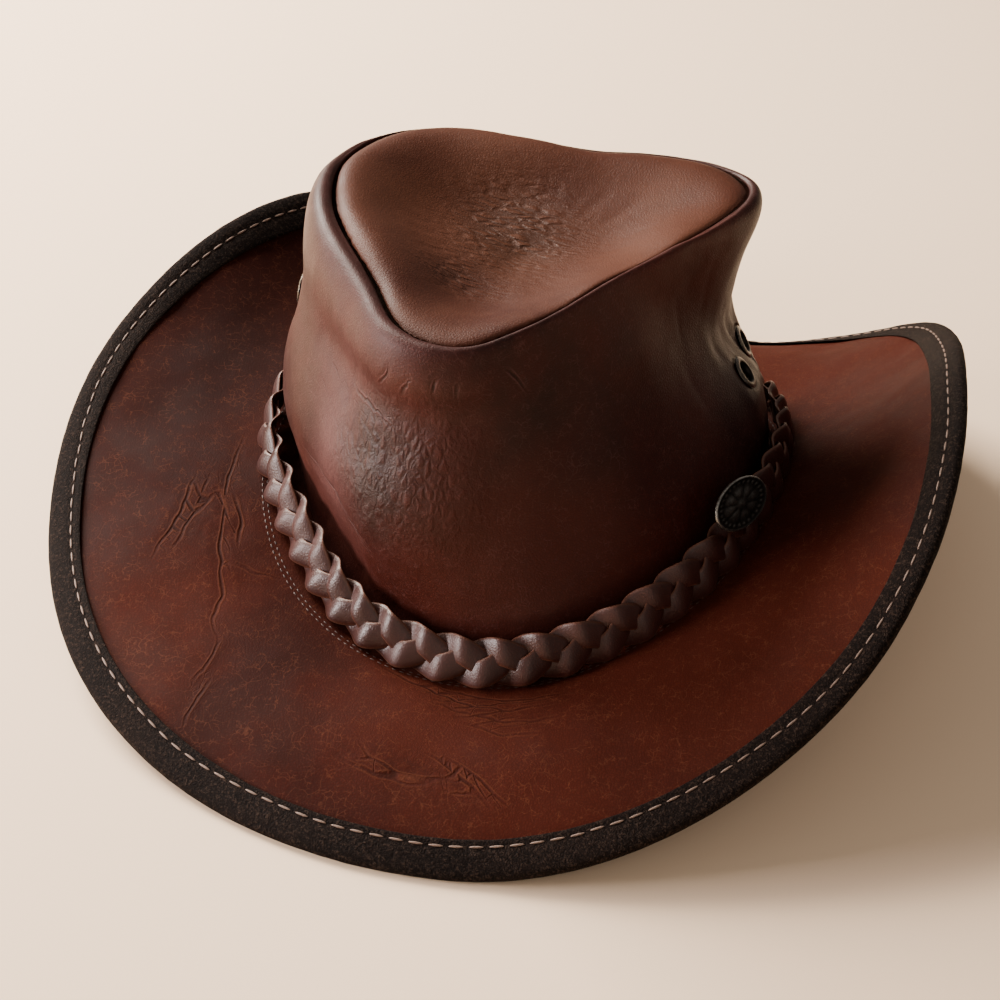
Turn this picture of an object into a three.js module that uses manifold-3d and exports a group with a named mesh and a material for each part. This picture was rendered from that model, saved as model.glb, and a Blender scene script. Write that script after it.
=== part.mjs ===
// A shaped leather bush hat resting on its brim, in millimetres, +Z up, front towards -Y.
// The hat is cut from thick oiled leather: a pinched crown wall, a dished tip sewn into its top,
// a brim turned up at the sides, a bound edge, a three-strand plaited band with an oval
// medallion, and two pairs of metal ventilation eyelets.
import * as THREE from "three";
import { mergeVertices } from "three/addons/utils/BufferGeometryUtils.js";
import Module from "manifold-3d";

const wasm = await Module();
wasm.setup();

// Head opening and leather
const head_length = 196;
const head_width = 163;
const foot_seat = 6;
const brim_leather = 2.4;
const crown_leather = 2.0;
const seam_gap = 0.35;
const foot_clearance = 0.6;

// Heights above the surface that the hat rests on
const foot_level = 41;
const foot_saddle = 24.5;
const foot_lean_front = 3.2;
const foot_lean_side = 0.035;
const crown_height = 109;

// Brim
const brim_width = 90;
const side_height = 90;
const binding_width = 11.2;
const binding_leather = 1.3;
const rest_press = 0.95;

// Crown tip and folds
const tip_reach = 87;
const tip_forward = 5;
const tip_leather = 2.0;
const tip_dish = 15;
const tip_puff = 3.5;
const shoulder_roll = 10;
const fold_depth = 10;

// Plaited band
const strand_width = 5.0;
const strand_leather = 1.25;
const plait_sway = 5.9;
const plait_lift = 2.35;
const plait_turns = 15;
const plait_steps = 9;
const band_clearance = 0.6;

// Metal
const eyelet_outer = 14.5;
const eyelet_hole = 8;
const eyelet_thick = 0.9;
const eyelet_clearance = 0.3;
const medallion_length = 30.5;
const medallion_width = 19;
const medallion_thick = 2.2;
const medallion_at = 76;
const medallion_raise = 11;
const medallion_stand = 0.5;
const medallion_turn = 10;

const around_steps = 70;
const degree = Math.PI / 180;
const foot_long = head_length / 2 + foot_seat;
const foot_wide = head_width / 2 + foot_seat;

// Smooth periodic curve through one column of a table of rows {at: degrees, ...}.
function around(table, column) {
  const rows = [...table].sort((a, b) => a.at - b.at);
  const count = rows.length;
  const row = (i) => rows[((i % count) + count) % count];
  const place = (i) => row(i).at + 360 * Math.floor(i / count);
  const slope = (i) => {
    const before = (row(i)[column] - row(i - 1)[column]) / (place(i) - place(i - 1));
    const after = (row(i + 1)[column] - row(i)[column]) / (place(i + 1) - place(i));
    return (before + after) / 2;
  };
  return (angle) => {
    let at = angle;
    while (at < rows[0].at) at += 360;
    while (at >= rows[0].at + 360) at -= 360;
    let i = 0;
    while (place(i + 1) <= at) i += 1;
    const span = place(i + 1) - place(i);
    const t = (at - place(i)) / span;
    const a = row(i)[column];
    const b = row(i + 1)[column];
    const h = t * t * (3 - 2 * t);
    const ease_a = t * (1 - t) * (1 - t) * span * slope(i);
    const ease_b = t * t * (1 - t) * span * slope(i + 1);
    return a + (b - a) * h + ease_a - ease_b;
  };
}

// Oval where the crown meets the brim: 0 degrees is the front, 90 the wearer's left. It has
// been squeezed in at the front of the wearer's right.
const oval_power = 2.1;
const squeeze = { at: -42, deep: 6.5, wide: 30 };
function footInset(angle) {
  const turn = ((angle - squeeze.at + 540) % 360) - 180;
  return squeeze.deep * Math.exp(-((turn / squeeze.wide) ** 2));
}
function foot(angle) {
  const c = Math.cos(angle * degree);
  const s = Math.sin(angle * degree);
  const rounded = (v) => Math.sign(v) * Math.abs(v) ** (2 / oval_power);
  const x = foot_wide * rounded(s);
  const y = -foot_long * rounded(c);
  const out = new THREE.Vector3(x / foot_wide ** 2, y / foot_long ** 2, 0).normalize();
  const z = foot_level - foot_saddle * c * c - foot_lean_front * c - foot_lean_side * x;
  const at = new THREE.Vector3(x, y, z).addScaledVector(out, -footInset(angle));
  return { at, out };
}

// Brim: how far it reaches, how high its edge rises, and how it bows between.
const brim_table = [
  { at: -180, reach: 0.88, rise: 0.00, bow: 0.10, bind: 1.00 },
  { at: -170, reach: 0.92, rise: 0.03, bow: 0.07, bind: 1.00 },
  { at: -150, reach: 0.96, rise: 0.48, bow: -0.02, bind: 1.00 },
  { at: -135, reach: 0.90, rise: 0.71, bow: -0.08, bind: 1.00 },
  { at: -120, reach: 0.89, rise: 0.79, bow: -0.10, bind: 1.00 },
  { at: -105, reach: 0.93, rise: 0.73, bow: -0.07, bind: 1.00 },
  { at: -90, reach: 1.00, rise: 0.56, bow: -0.02, bind: 1.00 },
  { at: -60, reach: 1.00, rise: 0.25, bow: 0.05, bind: 1.00 },
  { at: -30, reach: 1.00, rise: 0.08, bow: 0.08, bind: 0.96 },
  { at: -15, reach: 0.98, rise: 0.01, bow: 0.11, bind: 0.93 },
  { at: 0, reach: 0.98, rise: -0.01, bow: 0.12, bind: 0.91 },
  { at: 15, reach: 0.97, rise: 0.01, bow: 0.13, bind: 0.91 },
  { at: 30, reach: 0.98, rise: 0.14, bow: 0.12, bind: 0.93 },
  { at: 60, reach: 0.96, rise: 0.58, bow: 0.05, bind: 0.93 },
  { at: 75, reach: 0.90, rise: 0.83, bow: 0.00, bind: 0.84 },
  { at: 90, reach: 0.82, rise: 0.97, bow: -0.05, bind: 0.75 },
  { at: 105, reach: 0.78, rise: 0.99, bow: -0.08, bind: 0.72 },
  { at: 120, reach: 0.84, rise: 0.86, bow: -0.10, bind: 0.76 },
  { at: 135, reach: 0.95, rise: 0.62, bow: -0.05, bind: 0.85 },
  { at: 150, reach: 0.94, rise: 0.26, bow: 0.02, bind: 0.95 },
  { at: 165, reach: 0.84, rise: 0.00, bow: 0.09, bind: 1.00 },
];
const brim_reach = around(brim_table, "reach");
const brim_rise = around(brim_table, "rise");
const brim_bow = around(brim_table, "bow");
const brim_bind = around(brim_table, "bind");
const edge_half = brim_leather / 2 + seam_gap + binding_leather;
const edge_level = edge_half - rest_press;

function brimReach(angle) {
  return brim_width * brim_reach(angle) + footInset(angle);
}

// Middle of the brim's leather, a distance out from the crown's foot.
function brimMiddle(angle, out) {
  const f = foot(angle);
  const reach = brimReach(angle);
  const share = out / reach;
  const edge_z = edge_level + side_height * Math.max(brim_rise(angle), 0);
  const bow = 4 * brim_bow(angle) * brim_width * share * (1 - share);
  const rise = out > 0 ? (edge_z - f.at.z) * share + bow : 0;
  return f.at.clone().addScaledVector(f.out, out).setZ(f.at.z + rise);
}

// Unit normal of a smooth surface given by a function of (angle, out).
function surfaceNormal(surface, angle, out, step_angle = 1.5, step_out = 1.5) {
  const a = surface(angle + step_angle, out).sub(surface(angle - step_angle, out));
  const b = surface(angle, out + step_out).sub(surface(angle, out - step_out));
  return b.cross(a).normalize();
}

function brimFace(angle, out, lift) {
  const normal = surfaceNormal(brimMiddle, angle, out);
  if (normal.z < 0) normal.negate();
  return brimMiddle(angle, out).addScaledVector(normal, lift);
}

// A closed body swept round a ring of closed sections with equal point counts.
function ringBody(sections) {
  const count = sections[0].length;
  const triangles = [];
  sections.forEach((section, i) => {
    const next = sections[(i + 1) % sections.length];
    section.forEach((point, j) => {
      const k = (j + 1) % count;
      triangles.push([point, next[j], next[k]], [point, next[k], section[k]]);
    });
  });
  return bodyOf(triangles);
}

// A closed geometry from triangles of points, turned so that its faces point out.
function bodyOf(triangles) {
  const volume = triangles.reduce((sum, [a, b, c]) => sum + a.dot(b.clone().cross(c)), 0);
  const positions = [];
  for (const [a, b, c] of triangles) {
    const order = volume > 0 ? [a, b, c] : [a, c, b];
    if (a.equals(b) || b.equals(c) || c.equals(a)) continue;
    for (const p of order) positions.push(p.x, p.y, p.z);
  }
  const geometry = new THREE.BufferGeometry();
  geometry.setAttribute("position", new THREE.Float32BufferAttribute(positions, 3));
  return mergeVertices(geometry, 1e-4);
}

const hat = new THREE.Group();

function addPiece(name, geometry, color, roughness, metalness = 0) {
  const material = new THREE.MeshStandardMaterial({ color, roughness, metalness });
  const piece = new THREE.Mesh(geometry, material);
  piece.name = name;
  hat.add(piece);
  return piece;
}

const angles = Array.from({ length: around_steps }, (_, i) => -180 + (360 * i) / around_steps);

// Brim
const brim_stations = [0, 0.2, 0.46, 0.74];
function brimSection(angle) {
  const reach = brimReach(angle);
  const bound = reach - binding_width * brim_bind(angle);
  const outs = [-foot_seat, ...brim_stations.map((s) => s * bound), bound, reach];
  const top = outs.map((out) => brimFace(angle, out, brim_leather / 2));
  const under = outs.map((out) => brimFace(angle, out, -brim_leather / 2));
  return [...top, ...under.reverse()];
}
addPiece("brim", ringBody(angles.map(brimSection)), 0x54261a, 0.5);

// Binding: a strip folded over the brim's edge, flattened where the hat rests on it.
const binding_round = 2.0;
function bindingSection(angle) {
  const reach = brimReach(angle);
  const inner = reach - binding_width * brim_bind(angle);
  const hold = brim_leather / 2 + seam_gap;
  const wrap = hold + binding_leather;
  const points = [
    brimFace(angle, inner, hold),
    brimFace(angle, reach + seam_gap, hold),
    brimFace(angle, reach + seam_gap, -hold),
    brimFace(angle, inner, -hold),
    brimFace(angle, inner, -wrap),
    brimFace(angle, reach, -wrap),
    brimFace(angle, reach + binding_round, -wrap * 0.7),
    brimFace(angle, reach + binding_round, wrap * 0.45),
    brimFace(angle, reach, wrap),
    brimFace(angle, inner, wrap),
  ];
  for (const p of points) p.z = Math.max(p.z, 0);
  return points;
}
addPiece("brim_binding", ringBody(angles.map(bindingSection)), 0x1f1917, 0.75);

// Seam between tip and wall: a rounded triangle, pinched in behind the front.
const seam_table = [
  { at: 2, reach: 0.90, lift: 0.91, roll: 0.6 },
  { at: 13, reach: 0.78, lift: 0.93, roll: 0.4 },
  { at: 32, reach: 0.60, lift: 0.945, roll: 0.4 },
  { at: 48, reach: 0.52, lift: 0.955, roll: 0.4 },
  { at: 70, reach: 0.49, lift: 0.955, roll: 0.4 },
  { at: 88, reach: 0.54, lift: 0.96, roll: 0.4 },
  { at: 104, reach: 0.64, lift: 0.965, roll: 0.4 },
  { at: 117, reach: 0.78, lift: 0.97, roll: 0.6 },
  { at: 130, reach: 0.98, lift: 0.98, roll: 0.7 },
  { at: 142, reach: 1.00, lift: 0.965, roll: 0.5 },
  { at: 158, reach: 0.91, lift: 0.945, roll: 0.35 },
  { at: 180, reach: 0.80, lift: 0.93, roll: 0.35 },
  { at: -154, reach: 0.84, lift: 0.935, roll: 0.35 },
  { at: -135, reach: 0.95, lift: 0.955, roll: 0.35 },
  { at: -120, reach: 0.98, lift: 0.975, roll: 0.45 },
  { at: -100, reach: 0.94, lift: 0.995, roll: 0.8 },
  { at: -80, reach: 0.86, lift: 1.00, roll: 1.15 },
  { at: -50, reach: 0.77, lift: 0.975, roll: 1.3 },
  { at: -34, reach: 0.79, lift: 0.95, roll: 1.25 },
  { at: -12, reach: 0.92, lift: 0.915, roll: 1.0 },
];
const seam_reach = around(seam_table, "reach");
const seam_lift = around(seam_table, "lift");
const seam_roll = around(seam_table, "roll");

function seam(angle, inset = 0) {
  const along = (a) => {
    const r = tip_reach * seam_reach(a);
    const x = r * Math.sin(a * degree);
    const y = -tip_forward - r * Math.cos(a * degree);
    return new THREE.Vector3(x, y, foot_level + crown_height * seam_lift(a));
  };
  const side = along(angle + 1).sub(along(angle - 1));
  const out = new THREE.Vector3(side.y, -side.x, 0).normalize();
  return { at: along(angle).addScaledVector(out, -inset), out };
}

// Crown wall: how far each level has moved in from the foot, and its main folds.
const wall_table = [
  { h: 0.12, go: 0.08 },
  { h: 0.31, go: 0.26 },
  { h: 0.56, go: 0.53 },
  { h: 0.76, go: 0.74 },
];
const wall_folds = [
  { at: 98, h: 0.66, deep: 1.2, wide: 30, tall: 0.22 },
  { at: 126, h: 0.60, deep: 0.88, wide: 13, tall: 0.19 },
  { at: 110, h: 0.21, deep: -0.9, wide: 26, tall: 0.18 },
  { at: -74, h: 0.27, deep: -0.9, wide: 28, tall: 0.17 },
  { at: -30, h: 0.12, deep: 0.82, wide: 34, tall: 0.12 },
  { at: -30, h: 0.82, deep: 0.75, wide: 34, tall: 0.11 },
  { at: -24, h: 0.50, deep: -0.6, wide: 26, tall: 0.20 },
];
function wallFold(angle, h) {
  return wall_folds.reduce((sum, f) => {
    const turn = ((angle - f.at + 540) % 360) - 180;
    const far = (turn / f.wide) ** 2 + ((h - f.h) / f.tall) ** 2;
    return sum - f.deep * fold_depth * Math.exp(-far);
  }, 0);
}

const shoulder_table = [
  { out: 1.00, up: -0.95 },
  { out: 0.52, up: 0.02 },
  { out: 0.00, up: -0.24 },
];
const edge_drop = -shoulder_table[2].up;
function wallOuter(angle) {
  const f = foot(angle);
  const s = seam(angle);
  const roll = shoulder_roll * seam_roll(angle);
  const base = f.at.clone().setZ(brimFace(angle, 0, brim_leather / 2).z + foot_clearance);
  const shoulder = shoulder_table.map((row) => {
    const over = s.at.clone().addScaledVector(s.out, roll * row.out);
    return over.setZ(s.at.z + roll * row.up);
  });
  const body = wall_table.map((row) => {
    const p = base.clone().lerp(shoulder[0], row.go);
    p.z = base.z + (shoulder[0].z - base.z) * row.h;
    return p.addScaledVector(f.out, wallFold(angle, row.h));
  });
  return [base, ...body, ...shoulder];
}

function wallSection(rings, i) {
  const ring = rings[i];
  const next = rings[(i + 1) % rings.length];
  const before = rings[(i + rings.length - 1) % rings.length];
  const inner = ring.map((p, j) => {
    const up = ring[Math.min(j + 1, ring.length - 1)].clone().sub(ring[Math.max(j - 1, 0)]);
    const side = next[j].clone().sub(before[j]);
    const normal = side.cross(up).normalize();
    if (j === 0) normal.setZ(0).normalize();
    return p.clone().addScaledVector(normal, -crown_leather);
  });
  const under = brimFace(angles[i], -crown_leather, brim_leather / 2).z;
  inner[0].z = Math.max(inner[0].z, under + foot_clearance);
  return [...ring, ...inner.reverse()];
}
const wall_rings = angles.map(wallOuter);
const wall_body = ringBody(wall_rings.map((_, i) => wallSection(wall_rings, i)));

// Eyelets: two on each side. The wall is pressed flat where each is clinched through it.
const eyelets = [
  { name: "eyelet_right_front", at: -86, h: 0.59 },
  { name: "eyelet_right_back", at: -101, h: 0.59 },
  { name: "eyelet_left_front", at: 112, h: 0.40 },
  { name: "eyelet_left_back", at: 127, h: 0.42 },
];
const eyelet_sides = 12;
const press_depth = 0.5;

// Point and outward normal of the crown wall at a share of its height.
function wallPoint(angle, h) {
  const spot = (a, share) => {
    const ring = wallOuter(a);
    const levels = [0, ...wall_table.map((row) => row.h), 1];
    const k = levels.findIndex((v) => v > share) - 1;
    const t = (share - levels[k]) / (levels[k + 1] - levels[k]);
    return ring[k].clone().lerp(ring[k + 1], t);
  };
  const side = spot(angle + 4, h).sub(spot(angle - 4, h));
  const up = spot(angle, h + 0.06).sub(spot(angle, h - 0.06));
  return { at: spot(angle, h), normal: side.cross(up).normalize() };
}

// A turned body: closed profile of {r, z} about +Z, with a half-turn of one facet.
function turned(profile, sides) {
  const sections = Array.from({ length: sides }, (_, i) => {
    const a = (2 * Math.PI * i) / sides;
    return profile.map((p) => new THREE.Vector3(p.r * Math.cos(a), p.r * Math.sin(a), p.z));
  });
  return ringBody(sections);
}

function placed(geometry, at, normal, along) {
  const y = normal.clone().cross(along).normalize();
  const x = y.clone().cross(normal);
  const matrix = new THREE.Matrix4().makeBasis(x, y, normal).setPosition(at);
  return geometry.applyMatrix4(matrix);
}

function toManifold(geometry) {
  const positions = geometry.getAttribute("position").array;
  const mesh = new wasm.Mesh({
    numProp: 3,
    vertProperties: new Float32Array(positions),
    triVerts: new Uint32Array(geometry.index.array),
  });
  return new wasm.Manifold(mesh);
}

function fromManifold(manifold) {
  const mesh = manifold.getMesh();
  const geometry = new THREE.BufferGeometry();
  geometry.setAttribute("position", new THREE.BufferAttribute(mesh.vertProperties, 3));
  geometry.setIndex(new THREE.BufferAttribute(mesh.triVerts, 1));
  return geometry;
}

const flange_outer = eyelet_outer / 2;
const flange_inner = flange_outer - 0.8;
const barrel_outer = eyelet_hole / 2 + eyelet_thick;
const web_back = -crown_leather + press_depth;
let wall_solid = toManifold(wall_body);
for (const eyelet of eyelets) {
  const { at, normal } = wallPoint(eyelet.at, eyelet.h);
  const upright = new THREE.Vector3(0, 0, 1);
  const front = -press_depth + eyelet_clearance;
  const back = web_back - eyelet_clearance;
  const profile = [
    { r: eyelet_hole / 2, z: front + eyelet_thick * 0.6 },
    { r: eyelet_hole / 2 + 1.4, z: front + eyelet_thick * 1.4 },
    { r: flange_outer, z: front + eyelet_thick * 0.5 },
    { r: flange_outer, z: front },
    { r: barrel_outer, z: front },
    { r: barrel_outer, z: back },
    { r: flange_inner, z: back },
    { r: flange_inner, z: back - eyelet_thick * 0.8 },
    { r: eyelet_hole / 2, z: back - eyelet_thick },
  ];
  addPiece(eyelet.name, placed(turned(profile, eyelet_sides), at, normal, upright), 0x3a342f, 0.35, 0.9);
  const cutter = [
    { r: 0, z: -7 },
    { r: flange_inner + eyelet_clearance, z: -7 },
    { r: flange_inner + eyelet_clearance, z: web_back },
    { r: barrel_outer + eyelet_clearance, z: web_back },
    { r: barrel_outer + eyelet_clearance, z: -press_depth },
    { r: flange_outer + eyelet_clearance, z: -press_depth },
    { r: flange_outer + eyelet_clearance, z: 5 },
    { r: 0, z: 5 },
  ];
  const tool = placed(turned(cutter, eyelet_sides), at, normal, upright);
  wall_solid = wall_solid.subtract(toManifold(tool));
}
addPiece("crown_wall", fromManifold(wall_solid), 0x45251c, 0.45);

// Tip: a dished disc of leather sewn inside the wall's rolled edge.
const tip_table = [
  { in: 0.00, sink: 0.00, swell: 0.0 },
  { in: 0.07, sink: 0.00, swell: 0.9 },
  { in: 0.22, sink: 0.18, swell: 1.0 },
  { in: 0.50, sink: 0.68, swell: 0.4 },
];
const swell_table = [
  { at: -180, swell: 1.3 },
  { at: -145, swell: 1.8 },
  { at: -120, swell: 1.1 },
  { at: -90, swell: 1.0 },
  { at: -60, swell: 1.2 },
  { at: -20, swell: 1.1 },
  { at: 10, swell: 0.3 },
  { at: 50, swell: -0.4 },
  { at: 95, swell: -0.3 },
  { at: 125, swell: 0.4 },
  { at: 150, swell: 0.9 },
];
const tip_swell = around(swell_table, "swell");
const tip_rims = angles.map((angle) => {
  const s = seam(angle, seam_gap);
  return s.at.setZ(s.at.z - edge_drop * shoulder_roll * seam_roll(angle));
});
const tip_centre = tip_rims.reduce((sum, p) => sum.add(p), new THREE.Vector3());
tip_centre.divideScalar(tip_rims.length);
tip_centre.z -= tip_dish;

function tipTop(i, row) {
  const p = tip_rims[i].clone().lerp(tip_centre, row.in);
  const rim_z = tip_rims[i].z;
  p.z = rim_z + (tip_centre.z - rim_z) * row.sink + tip_puff * tip_swell(angles[i]) * row.swell;
  return p;
}
const tip_sections = tip_rims.map((_, i) => {
  const top = tip_table.map((row) => tipTop(i, row));
  const under = top.map((p) => p.clone().setZ(p.z - tip_leather));
  return [...top.reverse(), ...under];
});
const tip_triangles = [];
tip_sections.forEach((section, i) => {
  const next = tip_sections[(i + 1) % tip_sections.length];
  const last = section.length - 1;
  const bottom = tip_centre.clone().setZ(tip_centre.z - tip_leather);
  for (let j = 0; j < last; j += 1) {
    tip_triangles.push([section[j], next[j], next[j + 1]], [section[j], next[j + 1], section[j + 1]]);
  }
  tip_triangles.push([tip_centre, next[0], section[0]], [bottom, section[last], next[last]]);
});
addPiece("crown_tip", bodyOf(tip_triangles), 0x4a281c, 0.45);

// Plaited band: lower edge lies on the brim, upper edge leans towards the crown.
const band_table = [
  { at: -180, stand: 12.0, lean: 4.0 },
  { at: -120, stand: 12.5, lean: 5.5 },
  { at: -90, stand: 11.5, lean: 7.0 },
  { at: -70, stand: 12.2, lean: 7.0 },
  { at: -58, stand: 11.0, lean: 4.6 },
  { at: -46, stand: 8.8, lean: 1.4 },
  { at: -32, stand: 8.4, lean: 0.6 },
  { at: -16, stand: 8.0, lean: 0.3 },
  { at: 0, stand: 8.6, lean: 0.6 },
  { at: 14, stand: 10.3, lean: 1.8 },
  { at: 35, stand: 8.0, lean: 1.0 },
  { at: 55, stand: 8.5, lean: 0.5 },
  { at: 75, stand: 8.5, lean: 1.0 },
  { at: 100, stand: 8.5, lean: 4.5 },
  { at: 125, stand: 11.5, lean: 6.5 },
  { at: 155, stand: 12.5, lean: 4.0 },
];
const band_stand = around(band_table, "stand");
const band_lean = around(band_table, "lean");
const band_width = 2 * plait_sway + strand_width;
const plait_crest = 1.2 * plait_lift + strand_leather / 2;

// Frame of the band at an angle: middle point, direction across it and direction off it.
function bandFrame(angle) {
  const f = foot(angle);
  const stand = band_stand(angle);
  const tilt = Math.acos((stand - band_lean(angle)) / band_width);
  const across = f.out.clone().multiplyScalar(-Math.cos(tilt)).setZ(Math.sin(tilt));
  const off = f.out.clone().multiplyScalar(Math.sin(tilt)).setZ(Math.cos(tilt));
  const lift = brim_leather / 2 + band_clearance;
  const low = brimFace(angle, stand, lift);
  const outer = brimFace(angle, stand + 2 * plait_crest * Math.sin(tilt), lift);
  low.z = Math.max(low.z, outer.z - 2 * plait_crest * Math.cos(tilt));
  const middle = low.addScaledVector(across, band_width / 2).addScaledVector(off, plait_crest);
  return { middle, across, off };
}

const band_fine = Array.from({ length: 720 }, (_, i) => bandFrame(i / 2).middle);
const band_lengths = [0];
band_fine.forEach((p, i) => {
  band_lengths.push(band_lengths[i] + p.distanceTo(band_fine[(i + 1) % band_fine.length]));
});
function bandAngle(share) {
  const want = share * band_lengths[band_fine.length];
  const k = Math.min(band_lengths.findIndex((v) => v > want), band_fine.length) - 1;
  const span = band_lengths[k + 1] - band_lengths[k];
  return (k + (want - band_lengths[k]) / span) / 2;
}

function strandSection(share, offset) {
  const { middle, across, off } = bandFrame(bandAngle(share));
  const phase = 2 * Math.PI * (share * plait_turns + offset);
  const sway = plait_sway * Math.sin(phase);
  const lift = -plait_lift * (Math.sin(2 * phase) - 0.4 * Math.sin(4 * phase));
  const corners = [[-0.5, -0.5], [0.5, -0.5], [0.5, 0.5], [-0.5, 0.5]];
  return corners.map(([u, v]) => middle.clone()
    .addScaledVector(across, sway + u * strand_width)
    .addScaledVector(off, lift + v * strand_leather));
}
const strand_count = 3;
const strand_sections = plait_turns * plait_steps;
for (let k = 0; k < strand_count; k += 1) {
  const sections = Array.from({ length: strand_sections }, (_, i) =>
    strandSection(i / strand_sections, k / strand_count));
  addPiece(`band_strand_${k + 1}`, ringBody(sections), 0x43241b, 0.5);
}

// Medallion: an oval plate with a raised rim and a domed field, riding on the band.
const medallion_sides = 20;
const medallion_profile = [
  { r: 0.00, z: 0 },
  { r: 0.90, z: 0 },
  { r: 1.00, z: 0.45 },
  { r: 0.93, z: 1 },
  { r: 0.84, z: 0.6 },
  { r: 0.45, z: 0.7 },
  { r: 0.00, z: 0.9 },
];
const medallion_plate = turned(medallion_profile, medallion_sides);
medallion_plate.scale(medallion_length / 2, medallion_width / 2, medallion_thick);
const medallion_frame = bandFrame(medallion_at);
const medallion_spot = medallion_frame.middle.clone()
  .addScaledVector(medallion_frame.across, medallion_raise)
  .addScaledVector(medallion_frame.off, plait_crest + medallion_stand);
const upright_axis = new THREE.Vector3(0, 0, 1);
const band_run = medallion_frame.off.clone().cross(medallion_frame.across);
for (const side of [medallion_frame.off, band_run]) side.applyAxisAngle(upright_axis, -medallion_turn * degree);
addPiece("medallion", placed(medallion_plate, medallion_spot, medallion_frame.off, band_run), 0x5a5550, 0.35, 0.9);

// Stand the hat on the middle of its footprint.
const bounds = new THREE.Box3().setFromObject(hat);
const centre = bounds.getCenter(new THREE.Vector3());
for (const piece of hat.children) piece.geometry.translate(-centre.x, -centre.y, -bounds.min.z);

export default hat;
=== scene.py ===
import math

import bpy
import numpy as np
from mathutils import Matrix, Vector, noise


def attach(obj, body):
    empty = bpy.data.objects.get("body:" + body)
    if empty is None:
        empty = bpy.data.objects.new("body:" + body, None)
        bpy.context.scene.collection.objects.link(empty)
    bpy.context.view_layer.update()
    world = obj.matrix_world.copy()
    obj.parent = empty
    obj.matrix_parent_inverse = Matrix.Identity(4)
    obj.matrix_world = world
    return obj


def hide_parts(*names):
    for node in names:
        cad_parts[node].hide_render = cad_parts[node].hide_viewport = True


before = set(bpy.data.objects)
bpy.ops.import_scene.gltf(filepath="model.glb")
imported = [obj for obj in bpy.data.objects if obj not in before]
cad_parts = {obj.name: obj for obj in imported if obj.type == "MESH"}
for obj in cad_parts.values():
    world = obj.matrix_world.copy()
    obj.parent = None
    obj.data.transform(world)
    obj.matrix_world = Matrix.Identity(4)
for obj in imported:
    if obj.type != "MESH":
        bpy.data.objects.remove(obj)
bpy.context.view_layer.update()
bpy.ops.object.select_all(action="DESELECT")

# Camera and surface
# The hat stands on a pale, matt studio floor and is seen from above its front, turned a
# little towards the wearer's left, through a longish lens.
camera_data = bpy.data.cameras.new("camera")
camera_data.lens = 80.74
camera_data.sensor_width = 36
camera_data.clip_end = 20
camera = bpy.data.objects.new("camera", camera_data)
bpy.context.scene.collection.objects.link(camera)
bpy.context.scene.camera = camera
view_azimuth = math.radians(18.5124)
view_height = math.radians(35.9668)
view_roll = math.radians(2.6626)
view_back = Vector((
    math.sin(view_azimuth) * math.cos(view_height),
    -math.cos(view_azimuth) * math.cos(view_height),
    math.sin(view_height),
))
view_centre = Vector((0.00668, -0.02703, 0.040))
view_distance = 0.85
view_right = Vector((0, 0, 1)).cross(view_back).normalized()
view_up = view_back.cross(view_right)
turned_right = view_right * math.cos(view_roll) + view_up * math.sin(view_roll)
turned_up = view_up * math.cos(view_roll) - view_right * math.sin(view_roll)
camera_turn = Matrix((turned_right, turned_up, view_back)).transposed()
camera.matrix_world = Matrix.Translation(view_centre + view_back * view_distance) @ camera_turn.to_4x4()

bpy.ops.mesh.primitive_plane_add(size=8, location=(0, 0, 0))
floor = bpy.context.object
floor.name = "floor"
floor_paint = bpy.data.materials.new("floor_paint")
floor_paint.use_nodes = True
floor_shader = floor_paint.node_tree.nodes["Principled BSDF"]
floor_shader.inputs["Base Color"].default_value = (0.95, 0.73, 0.52, 1)
floor_shader.inputs["Roughness"].default_value = 0.9
floor_shader.inputs["Specular IOR Level"].default_value = 0.2
floor.data.materials.append(floor_paint)
bpy.ops.object.select_all(action="DESELECT")


def add_light(name, place, aim, size, power, colour):
    data = bpy.data.lights.new(name, "AREA")
    data.size = size
    data.energy = power
    data.color = colour
    light = bpy.data.objects.new(name, data)
    bpy.context.scene.collection.objects.link(light)
    light.location = place
    light.rotation_euler = (Vector(aim) - Vector(place)).to_track_quat("-Z", "Y").to_euler()


add_light("window", (-1.2, 0.5, 0.92), (0, 0, 0.05), 0.9, 100, (1.0, 0.90, 0.80))
add_light("side", (-1.1, -0.60, 0.30), (0, 0, 0.09), 0.5, 34, (1.0, 0.90, 0.88))
add_light("bounce", (0.5, -1.6, 1.1), (0, 0, 0.05), 1.4, 6, (1.0, 0.86, 0.74))
world = bpy.data.worlds.new("room")
bpy.context.scene.world = world
world.use_nodes = True
world.node_tree.nodes["Background"].inputs["Color"].default_value = (1.0, 0.88, 0.78, 1)
world.node_tree.nodes["Background"].inputs["Strength"].default_value = 0.34

# Brim
# One sheet of thick, waxed, reddish-brown leather, cut as a ring. It is turned up at both
# sides and has been worn, so it is creased and rubbed, with fine pale scuffs.

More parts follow.
